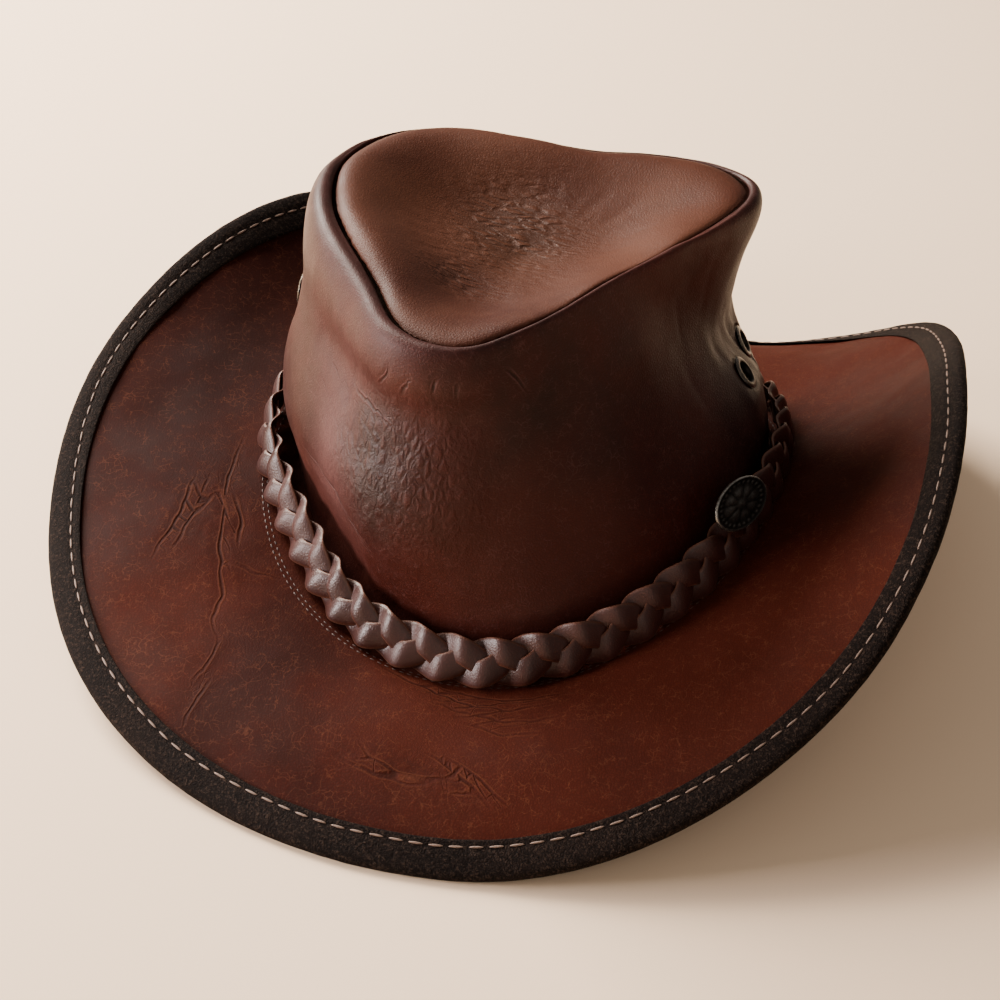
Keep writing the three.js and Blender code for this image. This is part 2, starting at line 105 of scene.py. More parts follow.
# Each crease: its depth and width in mm, then the points it runs through, seen from above.
brim_creases = (
    (0.60, 1.4, (
        (-98, -30), (-97, -40), (-95, -53), (-89, -66), (-84, -83),
        (-78, -95), (-72, -105), (-71, -116), (-64, -124),
    )),
    (0.60, 1.4, ((-107, -56), (-105, -68), (-104, -83), (-105, -96))),
    (0.45, 1.3, ((-102, -54), (-100, -66), (-99, -80), (-100, -90))),
    (0.40, 1.2, ((-96, -61), (-98, -72))),
    (0.50, 1.3, ((-88, -60), (-79, -72), (-78, -81))),
    (-0.30, 1.0, ((-64, -122), (-64, -136), (-66, -145))),
    (-0.30, 1.0, ((-60, -140), (-61, -148), (-61, -160))),
    (0.25, 1.2, ((-76, -90), (-64, -90), (-55, -88))),
    (0.45, 1.2, ((1, -150), (7, -154), (19, -157), (33, -155), (38, -154))),
    (0.35, 1.2, ((-3, -157), (10, -160), (22, -160), (32, -157))),
    (0.45, 1.2, ((24, -146), (38, -152), (44, -155), (52, -160))),
    (0.40, 1.2, ((31, -146), (43, -150), (53, -155), (60, -158))),
    (0.35, 1.2, ((35, -159), (47, -157))),
    (0.50, 1.2, ((-8, -110), (2, -114), (17, -117), (32, -120), (44, -119), (58, -112))),
    (0.40, 1.2, ((10, -112), (22, -114), (40, -114), (62, -105))),
    (0.35, 1.2, ((14, -122), (26, -124), (42, -125), (54, -123), (66, -117))),
    (0.30, 1.2, ((30, -129), (46, -131), (60, -128))),
)


def pick(piece):
    bpy.context.view_layer.objects.active = piece
    piece.select_set(True)


def refine(node, name, levels):
    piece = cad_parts[node].copy()
    piece.data = piece.data.copy()
    piece.name = name
    bpy.context.scene.collection.objects.link(piece)
    piece.parent = None
    piece.matrix_world = Matrix.Identity(4)
    pick(piece)
    bpy.ops.object.mode_set(mode="EDIT")
    bpy.ops.mesh.select_all(action="SELECT")
    bpy.ops.mesh.remove_doubles(threshold=1e-6)
    bpy.ops.mesh.tris_convert_to_quads(face_threshold=math.radians(60), shape_threshold=math.radians(120))
    bpy.ops.object.mode_set(mode="OBJECT")
    subdivide(piece, levels)
    bpy.ops.object.shade_smooth()
    piece.data.materials.clear()
    return piece


def subdivide(piece, levels):
    modifier = piece.modifiers.new("smooth", "SUBSURF")
    modifier.levels = levels
    modifier.render_levels = levels
    bpy.ops.object.modifier_apply(modifier=modifier.name)


def finish_piece(piece, material, nodes=()):
    piece.data.materials.append(material)
    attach(piece, "root")
    for node in nodes:
        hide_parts(node)
    piece.select_set(False)


def read_points(piece):
    count = len(piece.data.vertices)
    place = np.empty(count * 3)
    facing = np.empty(count * 3)
    piece.data.vertices.foreach_get("co", place)
    piece.data.vertices.foreach_get("normal", facing)
    return place.reshape(-1, 3), facing.reshape(-1, 3)


def write_points(piece, place):
    piece.data.vertices.foreach_set("co", place.ravel())
    piece.data.update()


def write_mask(piece, name, values):
    mask = piece.data.attributes.new(name, "FLOAT", "POINT")
    mask.data.foreach_set("value", values)


def waves(place, size, seed):
    spots = place / size + seed
    return np.array([noise.noise(spot) for spot in spots.tolist()])


def signed_distance(place, facing, line):
    flat = len(line[0]) == 2
    points = np.array([(*point, 0) if flat else point for point in line]) * 0.001
    if not flat:
        points = np.array([place[np.argmin(np.linalg.norm(place - point, axis=1))] for point in points])
    spots = place * [1, 1, 0] if flat else place
    up = np.array([[0, 0, 1.0]]) if flat else facing
    near = np.full(len(place), 1.0)
    side = np.ones(len(place))
    along = np.zeros(len(place))
    lengths = np.linalg.norm(points[1:] - points[:-1], axis=1)
    passed = 0.0
    for start, end, length in zip(points, points[1:], lengths):
        run = end - start
        share = np.clip((spots - start) @ run / (run @ run), 0, 1)
        offset = spots - start - share[:, None] * run
        gap = np.linalg.norm(offset, axis=1)
        turn = np.sum(np.cross(offset, run) * up, axis=1)
        closer = gap < near
        side = np.where(closer, np.where(turn < 0, -1.0, 1.0), side)
        along = np.where(closer, (passed + share * length) / lengths.sum(), along)
        near = np.minimum(near, gap)
        passed += length
    return near * side, np.sin(math.pi * np.clip(along, 0.02, 0.98)) ** 0.6


def press_creases(piece, creases, waver, upward=True):
    place, facing = read_points(piece)
    keep = facing[:, 2] > 0.15 if upward else np.ones(len(place), bool)
    drift = np.column_stack([waves(place, 0.007, 3.0 + k) for k in range(3)]) * waver
    nearest = np.full(len(place), 0.004)
    strength = np.zeros(len(place))
    shift = np.zeros(len(place))
    for depth, width, line in creases:
        signed, taper = signed_distance(place + drift, facing, line)
        near = np.abs(signed)
        wide = near / (width * 0.001)
        valley = np.exp(-wide ** 2)
        bank = np.exp(-((wide - 1.7) / 0.8) ** 2)
        shift += depth * taper * 0.001 * (0.3 * bank - valley) * keep
        closer = near < np.abs(nearest)
        nearest = np.where(closer, signed, nearest)
        fade = np.clip(1.5 - near / 0.002, 0, 1) * keep
        strength = np.where(closer, fade * taper * min(1, 2 * abs(depth)), strength)
    write_points(piece, place + facing * shift[:, None])
    write_mask(piece, "crease", nearest * 1000)
    write_mask(piece, "creased", strength)


def link(tree, source, output, target, socket):
    tree.links.new(source.outputs[output], target.inputs[socket])


# Feed: gives a socket a number, or links it to another node's output.
def feed(tree, value, socket):
    if isinstance(value, (int, float)):
        socket.default_value = value
    else:
        tree.links.new(value, socket)


def add_math(tree, kind, first, second):
    step = tree.nodes.new("ShaderNodeMath")
    step.operation = kind
    feed(tree, first, step.inputs[0])
    feed(tree, second, step.inputs[1])
    return step.outputs[0]


def map_range(tree, value, low, high, to_low=0.0, to_high=1.0):
    step = tree.nodes.new("ShaderNodeMapRange")
    step.interpolation_type = "SMOOTHSTEP"
    tree.links.new(value, step.inputs["Value"])
    for name, number in zip(("From Min", "From Max", "To Min", "To Max"), (low, high, to_low, to_high)):
        step.inputs[name].default_value = number
    return step.outputs["Result"]


def add_noise(tree, vector, scale, detail=4.0, roughness=0.55):
    step = tree.nodes.new("ShaderNodeTexNoise")
    step.inputs["Detail"].default_value = detail
    step.inputs["Roughness"].default_value = roughness
    tree.links.new(vector, step.inputs["Vector"])
    feed(tree, scale, step.inputs["Scale"])
    return step


def add_cells(tree, vector, scale):
    step = tree.nodes.new("ShaderNodeTexVoronoi")
    step.feature = "DISTANCE_TO_EDGE"
    tree.links.new(vector, step.inputs["Vector"])
    feed(tree, scale, step.inputs["Scale"])
    return step.outputs["Distance"]


def bend_vector(tree, vector, scale, amount):
    wobble = add_noise(tree, vector, scale, 3.0)
    centre = tree.nodes.new("ShaderNodeVectorMath")
    centre.operation = "SUBTRACT"
    centre.inputs[1].default_value = (0.5, 0.5, 0.5)
    link(tree, wobble, "Color", centre, 0)
    spread = tree.nodes.new("ShaderNodeVectorMath")
    spread.operation = "MULTIPLY_ADD"
    spread.inputs[1].default_value = (amount, amount, amount)
    link(tree, centre, 0, spread, 0)
    tree.links.new(vector, spread.inputs[2])
    return spread.outputs[0]


# Hide: the pebbled grain, the mottled tone and the fine pale scuffs of waxed leather.
def make_hide():
    tree = bpy.data.node_groups.new("hide", "ShaderNodeTree")
    for name, value in (("Grain Scale", 700.0), ("Mottle Scale", 16.0)):
        socket = tree.interface.new_socket(name, in_out="INPUT", socket_type="NodeSocketFloat")
        socket.default_value = value
    for name in ("Grain", "Mottle", "Scuffs", "Blotch"):
        tree.interface.new_socket(name, in_out="OUTPUT", socket_type="NodeSocketFloat")
    given = tree.nodes.new("NodeGroupInput")
    result = tree.nodes.new("NodeGroupOutput")
    place = tree.nodes.new("ShaderNodeTexCoord").outputs["Object"]
    bent = bend_vector(tree, place, 260.0, 0.0016)
    cells = map_range(tree, add_cells(tree, bent, given.outputs["Grain Scale"]), 0.0, 0.32)
    fine = add_noise(tree, place, 1900.0, 3.0).outputs["Fac"]
    grain = add_math(tree, "MULTIPLY_ADD", cells, 0.6)
    tree.links.new(fine, grain.node.inputs[2])
    tree.links.new(grain, result.inputs["Grain"])
    mottle = add_noise(tree, place, given.outputs["Mottle Scale"], 6.0, 0.62).outputs["Fac"]
    tree.links.new(map_range(tree, mottle, 0.32, 0.68), result.inputs["Mottle"])
    blotch = add_noise(tree, place, 7.0, 3.0, 0.5).outputs["Fac"]
    tree.links.new(map_range(tree, blotch, 0.36, 0.64), result.inputs["Blotch"])
    total = None
    for scale, wobble, thin in ((250.0, 0.005, 0.05), (430.0, 0.003, 0.07), (140.0, 0.008, 0.022)):
        curl = bend_vector(tree, place, scale * 0.55, wobble)
        lines = map_range(tree, add_cells(tree, curl, scale), 0.0, thin, 1.0, 0.0)
        patch = map_range(tree, add_noise(tree, place, scale * 0.6, 5.0, 0.65).outputs["Fac"], 0.50, 0.62)
        lines = add_math(tree, "MULTIPLY", lines, patch)
        total = lines if total is None else add_math(tree, "MAXIMUM", total, lines)
    tree.links.new(total, result.inputs["Scuffs"])
    return tree


hide = make_hide()


def mix_colour(tree, share, first, second):
    step = tree.nodes.new("ShaderNodeMix")
    step.data_type = "RGBA"
    tree.links.new(share, step.inputs["Factor"])
    for socket, value in ((6, first), (7, second)):
        if isinstance(value, tuple):
            step.inputs[socket].default_value = (*value, 1)
        else:
            tree.links.new(value, step.inputs[socket])
    return step.outputs[2]


def bump(tree, shader, height, distance):
    step = tree.nodes.new("ShaderNodeBump")
    step.inputs["Distance"].default_value = distance
    tree.links.new(height, step.inputs["Height"])
    link(tree, step, "Normal", shader, "Normal")


# Wrinkles: soft pillows parted by fine valleys, as leather shows where it has been bent.
def make_wrinkles():
    tree = bpy.data.node_groups.new("wrinkles", "ShaderNodeTree")
    for name, kind in (("Place", "NodeSocketVector"), ("Scale", "NodeSocketFloat")):
        tree.interface.new_socket(name, in_out="INPUT", socket_type=kind)
    tree.interface.new_socket("Height", in_out="OUTPUT", socket_type="NodeSocketFloat")
    given = tree.nodes.new("NodeGroupInput")
    result = tree.nodes.new("NodeGroupOutput")
    bent = bend_vector(tree, given.outputs["Place"], 180.0, 0.0035)
    pillows = map_range(tree, add_cells(tree, bent, given.outputs["Scale"]), 0.0, 0.42)
    tree.links.new(pillows, result.inputs["Height"])
    return tree


wrinkles = make_wrinkles()


def read_mask(tree, name):
    mask = tree.nodes.new("ShaderNodeAttribute")
    mask.attribute_name = name
    return mask.outputs["Fac"]


def scale_colour(tree, tone, factor):
    scale = tree.nodes.new("ShaderNodeVectorMath")
    scale.operation = "SCALE"
    tree.links.new(tone, scale.inputs[0])
    tree.links.new(factor, scale.inputs["Scale"])
    return scale.outputs[0]


# Leather: three brown tones mottled together, a pale tone for what is rubbed and for painted sheen,
# and a tint tone that is a warm stain on the crown wall and a dark painted shade on the brim. Crease
# valleys and the gaps between wrinkles are darkened as painted shade. Grain and folds give a scale
# and a depth in mm; folds can be turned and stretched.
def tan_leather(
        name, dark, middle, light, pale, tint_and_painted_shade, gloss, shine, coat, scuff,
        grain_scale=900.0, grain_depth=0.07, fold_scale=420.0, fold_depth=0.5,
        fold_turn=(0, 0, 0), fold_stretch=(1, 1, 1)):
    material = bpy.data.materials.new(name)
    material.use_nodes = True
    tree = material.node_tree
    shader = tree.nodes["Principled BSDF"]
    skin = tree.nodes.new("ShaderNodeGroup")
    skin.node_tree = hide
    skin.inputs["Grain Scale"].default_value = grain_scale
    wear_and_painted_sheen = read_mask(tree, "wear_and_painted_sheen")
    tone = mix_colour(tree, skin.outputs["Mottle"], dark, middle)
    tone = mix_colour(tree, add_math(tree, "MULTIPLY", skin.outputs["Blotch"], 0.6), tone, light)
    tone = mix_colour(tree, read_mask(tree, "tint_and_painted_shade"), tone, tint_and_painted_shade)
    near = add_math(tree, "ABSOLUTE", read_mask(tree, "crease"), 0.0)
    creased = read_mask(tree, "creased")
    cut = add_math(tree, "MULTIPLY", map_range(tree, near, 0.05, 0.75, 1.0, 0.0), creased)
    beside = add_math(tree, "ABSOLUTE", add_math(tree, "SUBTRACT", near, 0.9), 0.0)
    lip = add_math(tree, "MULTIPLY", map_range(tree, beside, 0.0, 0.5, 1.0, 0.0), creased)
    marks = add_math(tree, "MULTIPLY", skin.outputs["Scuffs"], scuff)
    # Rubbed wear and, on the crown wall, a painted sheen are mixed in with the pale tone.
    marks = add_math(tree, "MAXIMUM", marks, add_math(tree, "MULTIPLY", wear_and_painted_sheen, 0.5))
    marks = add_math(tree, "MAXIMUM", marks, add_math(tree, "MULTIPLY", lip, 0.30))
    tone = mix_colour(tree, marks, tone, pale)
    turn = tree.nodes.new("ShaderNodeMapping")
    turn.inputs["Rotation"].default_value = fold_turn
    turn.inputs["Scale"].default_value = fold_stretch
    link(tree, tree.nodes.new("ShaderNodeTexCoord"), "Object", turn, "Vector")
    folds = tree.nodes.new("ShaderNodeGroup")
    folds.node_tree = wrinkles
    folds.inputs["Scale"].default_value = fold_scale
    link(tree, turn, "Vector", folds, "Place")
    between = add_math(tree, "SUBTRACT", 1.0, folds.outputs["Height"])
    gap = add_math(tree, "MULTIPLY", between, read_mask(tree, "wrinkled"))
    # Painted shade: the colour is darkened in crease valleys and between the wrinkle pillows, where shade
    # would fall.
    low = add_math(tree, "MAXIMUM", cut, add_math(tree, "MULTIPLY", gap, 0.7))
    tone = scale_colour(tree, tone, map_range(tree, skin.outputs["Grain"], 0.45, 1.0, 0.84, 1.06))
    tone = scale_colour(tree, tone, map_range(tree, low, 0.0, 1.0, 1.0, 0.55))
    tree.links.new(tone, shader.inputs["Base Color"])
    rough = map_range(tree, skin.outputs["Mottle"], 0.0, 1.0, gloss - 0.05, gloss + 0.07)
    rough = add_math(tree, "ADD", rough, add_math(tree, "MULTIPLY", marks, 0.15))
    tree.links.new(rough, shader.inputs["Roughness"])
    shader.inputs["Specular IOR Level"].default_value = shine
    shader.inputs["Coat Weight"].default_value = coat
    shader.inputs["Coat Roughness"].default_value = 0.42
    height = add_math(tree, "MULTIPLY", skin.outputs["Grain"], grain_depth)
    height = add_math(tree, "SUBTRACT", height, add_math(tree, "MULTIPLY", gap, fold_depth))
    height = add_math(tree, "SUBTRACT", height, add_math(tree, "MULTIPLY", cut, 0.22))
    height = add_math(tree, "ADD", height, add_math(tree, "MULTIPLY", lip, 0.10))
    bump(tree, shader, height, 0.001)
    return material


# Blob: a soft-edged mask round a centre, with a reach along each axis, both in mm.
def blob(place, centre, spread):
    return np.exp(-np.sum(((place - np.array(centre) * 0.001) / (np.array(spread) * 0.001)) ** 2, axis=1))


brim = refine("brim", "brim_leather", 3)
press_creases(brim, brim_creases, 0.0013)
place, facing = read_points(brim)
ripple = waves(place, 0.030, 9.0) * 0.0009 + waves(place, 0.011, 4.0) * 0.00022
write_points(brim, place + facing * (ripple * (facing[:, 2] > 0.1))[:, None])
bent_left = blob(place, (-96, -68, 40), (16, 30, 60))
bent_front = blob(place, (36, -120, 20), (34, 9, 60)) + blob(place, (28, -154, 20), (36, 8, 60))
write_mask(brim, "wrinkled", np.clip(0.6 * bent_left + 0.6 * bent_front, 0, 0.6) * (facing[:, 2] > 0))
# Painted shade: the brim's colour is darkened over the wearer's right side and towards the back on that
# side, where the turned-up brim faces away from the light.
painted_brim_shade = 0.75 * blob(place, (-130, 0, 40), (42, 90, 90)) + 0.5 * blob(place, (-60, 130, 30), (60, 50, 60))
write_mask(brim, "tint_and_painted_shade", np.clip(painted_brim_shade, 0, 0.8))
brim_finish = tan_leather(
    "brim_finish",
    dark=(0.019, 0.0025, 0.0010),
    middle=(0.035, 0.0048, 0.0019),
    light=(0.050, 0.0085, 0.0034),
    pale=(0.16, 0.055, 0.026),
    # On the brim the tint tone is a dark painted shade.
    tint_and_painted_shade=(0.0085, 0.0012, 0.0006),
    gloss=0.72, shine=0.06, coat=0.0, scuff=0.22,
    grain_scale=950.0, fold_scale=230.0, fold_depth=0.14)
finish_piece(brim, brim_finish, ["brim"])

# Edge binding
# A strip of darker, dry, cracked leather folded over the brim's edge and stitched through
# from top to bottom with a waxed thread.
binding = refine("brim_binding", "binding_strip", 3)
binding_finish = bpy.data.materials.new("binding_finish")
binding_finish.use_nodes = True
tree = binding_finish.node_tree
binding_shader = tree.nodes["Principled BSDF"]
skin = tree.nodes.new("ShaderNodeGroup")
skin.node_tree = hide
skin.inputs["Grain Scale"].default_value = 900.0
place_node = tree.nodes.new("ShaderNodeTexCoord").outputs["Object"]
speckle = map_range(tree, add_noise(tree, place_node, 750.0, 5.0, 0.7).outputs["Fac"], 0.47, 0.62)
crack = map_range(tree, skin.outputs["Grain"], 0.40, 0.75)
tone = mix_colour(tree, skin.outputs["Mottle"], (0.0040, 0.0022, 0.0017), (0.0085, 0.0046, 0.0034))
tone = mix_colour(tree, add_math(tree, "MULTIPLY", speckle, 0.55), tone, (0.045, 0.028, 0.021))
tone = mix_colour(tree, crack, (0.002, 0.0012, 0.001), tone)
tree.links.new(tone, binding_shader.inputs["Base Color"])
binding_shader.inputs["Roughness"].default_value = 0.78
binding_shader.inputs["Specular IOR Level"].default_value = 0.06
crust = add_math(tree, "ADD", skin.outputs["Grain"], add_math(tree, "MULTIPLY", speckle, 0.5))
bump(tree, binding_shader, crust, 0.00022)


def line_distance(place, line):
    points = np.array(line) * 0.001
    near = np.full(len(place), 1.0)
    for start, end in zip(points, points[1:]):
        run = end - start
        share = np.clip((place[:, :len(run)] - start) @ run / (run @ run), 0, 1)
        gap = np.linalg.norm(place[:, :len(run)] - start - share[:, None] * run, axis=1)
        near = np.minimum(near, gap)
    return near


seam_angles = 720
seam_first_radius = 0.075
seam_ray_step = 0.001
seam_rays = 170
seam_easing = 9


# Seam path: walks out over a piece's upper or lower face at each angle, and gives the spot
# at a share of the way from its inner to its outer edge, eased over its neighbours.
def edge_seam(piece, share, side, centre):
    spots = []
    for step in range(seam_angles):
        angle = math.radians(step * 360 / seam_angles)
        reach = Vector((math.sin(angle), -math.cos(angle), 0))
        hits = []
        for k in range(seam_rays):
            radius = seam_first_radius + k * seam_ray_step
            start = Vector((centre[0], centre[1], 0.0)) + reach * radius
            start.z = 0.5 if side > 0 else -0.5
            found, spot, normal, _ = piece.ray_cast(start, Vector((0, 0, -side)))
            if found:
                hits.append((spot, normal))
            elif hits:
                break
        lengths = [0.0]
        for before, after in zip(hits, hits[1:]):
            lengths.append(lengths[-1] + (after[0] - before[0]).length)
        want = share * lengths[-1]
        index = min(range(len(lengths)), key=lambda k: abs(lengths[k] - want))
        spots.append(hits[index])
    even = []
    for k in range(len(spots)):
        around = [spots[(k + j) % len(spots)][0] for j in range(-seam_easing, seam_easing + 1)]
        found, spot, normal, _ = piece.closest_point_on_mesh(sum(around, Vector()) / len(around))
        even.append((spot, normal))
    return even


def even_spots(spots, pitch):
    lengths = [0.0]
    for k, (spot, _) in enumerate(spots):
        lengths.append(lengths[-1] + (spots[(k + 1) % len(spots)][0] - spot).length)
    count = round(lengths[-1] / pitch)
    places = []
    index = 0
    for k in range(count):
        want = lengths[-1] * k / count
        while lengths[index + 1] < want:
            index += 1
        share = (want - lengths[index]) / max(lengths[index + 1] - lengths[index], 1e-9)
        first = spots[index]
        second = spots[(index + 1) % len(spots)]
        places.append((first[0].lerp(second[0], share), first[1].lerp(second[1], share).normalized()))
    return places


def sew(name, places, length, width, height, sink):
    bpy.ops.mesh.primitive_uv_sphere_add(segments=8, ring_count=6, radius=1)
    stitch = bpy.context.object
    bpy.ops.object.mode_set(mode="EDIT")
    bpy.ops.mesh.select_all(action="SELECT")
    bpy.ops.transform.resize(value=(height, width, length / 2))
    bpy.ops.object.mode_set(mode="OBJECT")
    bpy.ops.object.shade_smooth()
    row = []
    for k, (spot, normal) in enumerate(places):
        run = places[(k + 1) % len(places)][0] - places[k - 1][0]
        run = (run - normal * run.dot(normal)).normalized()
        turn = Matrix((normal, run.cross(normal), run)).transposed().to_4x4()
        copy = stitch.copy()
        copy.data = stitch.data.copy()
        copy.data.transform(Matrix.Translation(spot - normal * sink) @ turn)
        bpy.context.scene.collection.objects.link(copy)
        row.append(copy)
    bpy.data.objects.remove(stitch)
    for copy in row:
        copy.select_set(True)
    bpy.context.view_layer.objects.active = row[0]
    bpy.ops.object.join()
    row[0].name = name
    return row[0]


crown_middle = (0.0066, 0.0040)
binding_share = 0.47
binding_pitch = 0.0068
groove_width = 0.0011
groove_depth = 0.00042
top_seam = even_spots(edge_seam(binding, binding_share, 1, crown_middle), binding_pitch)
under_seam = even_spots(edge_seam(binding, binding_share, -1, crown_middle), binding_pitch)
groove_line = [tuple(spot * 1000) for spot, _ in top_seam + top_seam[:1]]
place, facing = read_points(binding)
groove = np.exp(-(line_distance(place, groove_line) / groove_width) ** 2) * groove_depth
crust_waves = waves(place, 0.006, 7.0) * 0.00013
write_points(binding, place + facing * (crust_waves - groove)[:, None])
finish_piece(binding, binding_finish, ["brim_binding"])

thread_finish = bpy.data.materials.new("thread_finish")
thread_finish.use_nodes = True
tree = thread_finish.node_tree
thread_shader = tree.nodes["Principled BSDF"]
place_node = tree.nodes.new("ShaderNodeTexCoord").outputs["Object"]
fuzz = add_noise(tree, place_node, 900.0, 3.0).outputs["Fac"]
thread_tone = mix_colour(tree, fuzz, (0.08, 0.048, 0.036), (0.21, 0.14, 0.105))
tree.links.new(thread_tone, thread_shader.inputs["Base Color"])
thread_shader.inputs["Roughness"].default_value = 0.6
bump(tree, thread_shader, fuzz, 0.00015)
for name, seam in (("binding_stitches_top", top_seam), ("binding_stitches_under", under_seam)):
    stitches = sew(name, seam, length=0.0050, width=0.00042, height=0.00038, sink=0.00022)
    finish_piece(stitches, thread_finish)

# Crown seam
# Two rows of fine dark thread sewn through the brim just outside the crown's foot. They show
# where the plait stands clear of them.
seam_centre = Vector((*crown_middle, 0))
foot_half_width = 0.0875
foot_half_length = 0.104
foot_power = 2 / 2.1
foot_angles = 540
seam_thread = thread_finish.copy()
seam_thread.name = "seam_thread"
seam_tones = [node for node in seam_thread.node_tree.nodes if node.bl_idname == "ShaderNodeMix"][0]
seam_tones.inputs[6].default_value = (0.010, 0.004, 0.003, 1)
seam_tones.inputs[7].default_value = (0.050, 0.018, 0.011, 1)
crown_seams = (
    ("crown_seam_inner", 0.0088, 0.0030, 0.0017),
    ("crown_seam_outer", 0.0106, 0.0030, 0.0020),
)
for name, spread, pitch, length in crown_seams:
    spots = []
    for step in range(foot_angles):
        angle = math.radians(step * 360 / foot_angles)
        side, ahead = math.sin(angle), -math.cos(angle)
        start = seam_centre + Vector((
            math.copysign(abs(side) ** foot_power, side) * (foot_half_width + spread),
            math.copysign(abs(ahead) ** foot_power, ahead) * (foot_half_length + spread),
            0.3,
        ))
        found, spot, normal, _ = brim.ray_cast(start, Vector((0, 0, -1)))
        spots.append((spot, normal))
    stitches = sew(name, even_spots(spots, pitch), length, width=0.00032, height=0.00028, sink=0.00010)
    finish_piece(stitches, seam_thread)

# Crown wall
# One wrap of the same leather in a darker tone, shaped wet over a block. It rolls over at
# the top into the seam with the tip, and is wrinkled where it has been pinched.

# Each crease: its depth and width in mm, then the points in space that it runs through.
wall_creases = (
    (0.9, 2.6, ((-61, -59, 67), (-54, -66, 68), (-41, -78, 64), (-29, -87, 57), (-18, -93, 50))),
    (0.7, 1.3, ((-13, -84, 129), (-16, -87, 126), (-21, -86, 122))),
    (0.5, 1.2, ((-6, -87, 128), (-9, -90, 124), (-10, -91, 120))),
    (0.6, 1.2, ((3, -88, 129), (2, -90, 124))),
    (0.4, 1.2, ((9, -86, 129), (10, -89, 124))),
    (0.6, 1.3, ((22, -74, 131), (27, -73, 127), (31, -71, 123))),
    (0.7, 2.0, ((-48, -56, 108), (-40, -66, 104), (-30, -77, 102), (-20, -85, 98))),
    (0.5, 1.8, ((-52, -55, 100), (-42, -68, 94), (-33, -77, 88))),
    (0.5, 1.8, ((-36, -71, 108), (-24, -82, 107), (-12, -88, 105))),
)


# Wall rise: how far the leather stands out from the block at each place. It is fuller at the
# wearer's right, rolls over at the shoulder, and is hollow below the roll.
def wall_rise(place):
    fuller = blob(place, (-84, 0, 88), (24, 42, 30)) * 0.0028
    under_roll = ((-50, -52, 112), (-40, -68, 112), (-22, -84, 114), (-4, -89, 112), (14, -86, 114))
    roll = ((-44, -62, 127), (-36, -71, 126), (-18, -84, 124), (1, -88, 125), (16, -82, 127))
    low = np.exp(-(line_distance(place, under_roll) / 0.0075) ** 2) * 0.0016
    high = np.exp(-(line_distance(place, roll) / 0.0065) ** 2) * 0.0010
    return waves(place, 0.026, 2.0) * 0.0011 + fuller + high - low


wall = refine("crown_wall", "crown_wall_leather", 3)
# The flattest facets are merged, so that the piece stays under its limit of triangles.
thin_out = wall.modifiers.new("thin_out", "DECIMATE")
thin_out.ratio = 0.94
bpy.ops.object.modifier_apply(modifier="thin_out")
press_creases(wall, wall_creases, 0.0014, False)
place, facing = read_points(wall)
from_middle = place - [*crown_middle, 0.09]
outside = (place[:, 2] > 0.03) * (np.einsum("ij,ij->i", from_middle, facing) > 0)
pinched = blob(place, (-12, -89, 90), (32, 24, 26))
small = waves(place * [1.0, 1.0, 0.45], 0.0032, 6.0) * 0.00036 * pinched
lines = (waves(place, 0.0085, 8.0) * 0.0004) * (0.35 + pinched)
write_points(wall, place + facing * ((wall_rise(place) + small + lines) * outside)[:, None])
# Painted sheen: a pale mauve patch on the front of the wall at the wearer's right stands in for a glossy
# reflection.
painted_sheen = blob(place, (-42, -74, 82), (15, 14, 30)) * 0.55
write_mask(wall, "wear_and_painted_sheen", painted_sheen * outside)
write_mask(wall, "wrinkled", np.clip(pinched * 1.1, 0, 0.9) * outside)
temple = blob(place, (-62, -50, 80), (10, 14, 34)) + 0.7 * blob(place, (-8, -88, 124), (16, 10, 6))
write_mask(wall, "tint_and_painted_shade", np.clip(temple, 0, 1) * 0.22)
crown_finish = tan_leather(
    "crown_finish",
    dark=(0.010, 0.0014, 0.0008),
    middle=(0.034, 0.0042, 0.0023),
    light=(0.058, 0.0095, 0.0046),
    # The pale tone here is also the mauve of the painted sheen.
    pale=(0.17, 0.078, 0.074),
    tint_and_painted_shade=(0.085, 0.024, 0.011),
    gloss=0.50, shine=0.19, coat=0.04, scuff=0.16,
    grain_scale=850.0, grain_depth=0.08, fold_scale=250.0, fold_depth=0.32,
    fold_turn=(0, 0.5, 0), fold_stretch=(1.5, 1.0, 0.8))
finish_piece(wall, crown_finish, ["crown_wall"])

# Crown tip
# A disc of the same leather sewn inside the wall's rolled edge and pressed down, rubbed to
# a paler tan and finely wrinkled where it is pinched.
tip = refine("crown_tip", "crown_tip_leather", 2)
# The facets of the disc all run to its middle, where they would fan into ripples, so it is
# meshed anew in even facets and eased.
tip.data.remesh_voxel_size = 0.0008
bpy.ops.object.voxel_remesh()
relax = tip.modifiers.new("relax", "SMOOTH")
relax.factor = 0.5
relax.iterations = 14
bpy.ops.object.modifier_apply(modifier="relax")
bpy.ops.object.shade_smooth()
place, facing = read_points(tip)
upper = facing[:, 2] > 0.1
hollow = blob(place, (-7, 12, 135), (22, 26, 60))
front_pinch = blob(place, (-12, -30, 130), (14, 12, 60))
swell = waves(place, 0.028, 12.0) * 0.0012
write_points(tip, place + facing * (swell * upper)[:, None])
write_mask(tip, "wear_and_painted_sheen", 0.30 * hollow)
write_mask(tip, "wrinkled", np.clip(1.2 * hollow + 0.9 * front_pinch, 0, 1) * upper)
tip_finish = tan_leather(
    "tip_finish",
    dark=(0.034, 0.0066, 0.0028),
    middle=(0.056, 0.0138, 0.0050),
    light=(0.080, 0.0235, 0.0088),
    pale=(0.15, 0.070, 0.034),
    tint_and_painted_shade=(0.10, 0.028, 0.012),
    gloss=0.52, shine=0.14, coat=0.05, scuff=0.10,
    grain_scale=850.0, grain_depth=0.08, fold_scale=250.0, fold_depth=0.60,
    fold_turn=(0, 0, 0.3), fold_stretch=(0.55, 1.5, 1.0))
finish_piece(tip, tip_finish, ["crown_tip"])

# Plaited band
# Three flat strands of polished leather plaited into a loop that stands round the crown's
# foot. Each strand is domed by the knife and shows a raw, lighter edge.

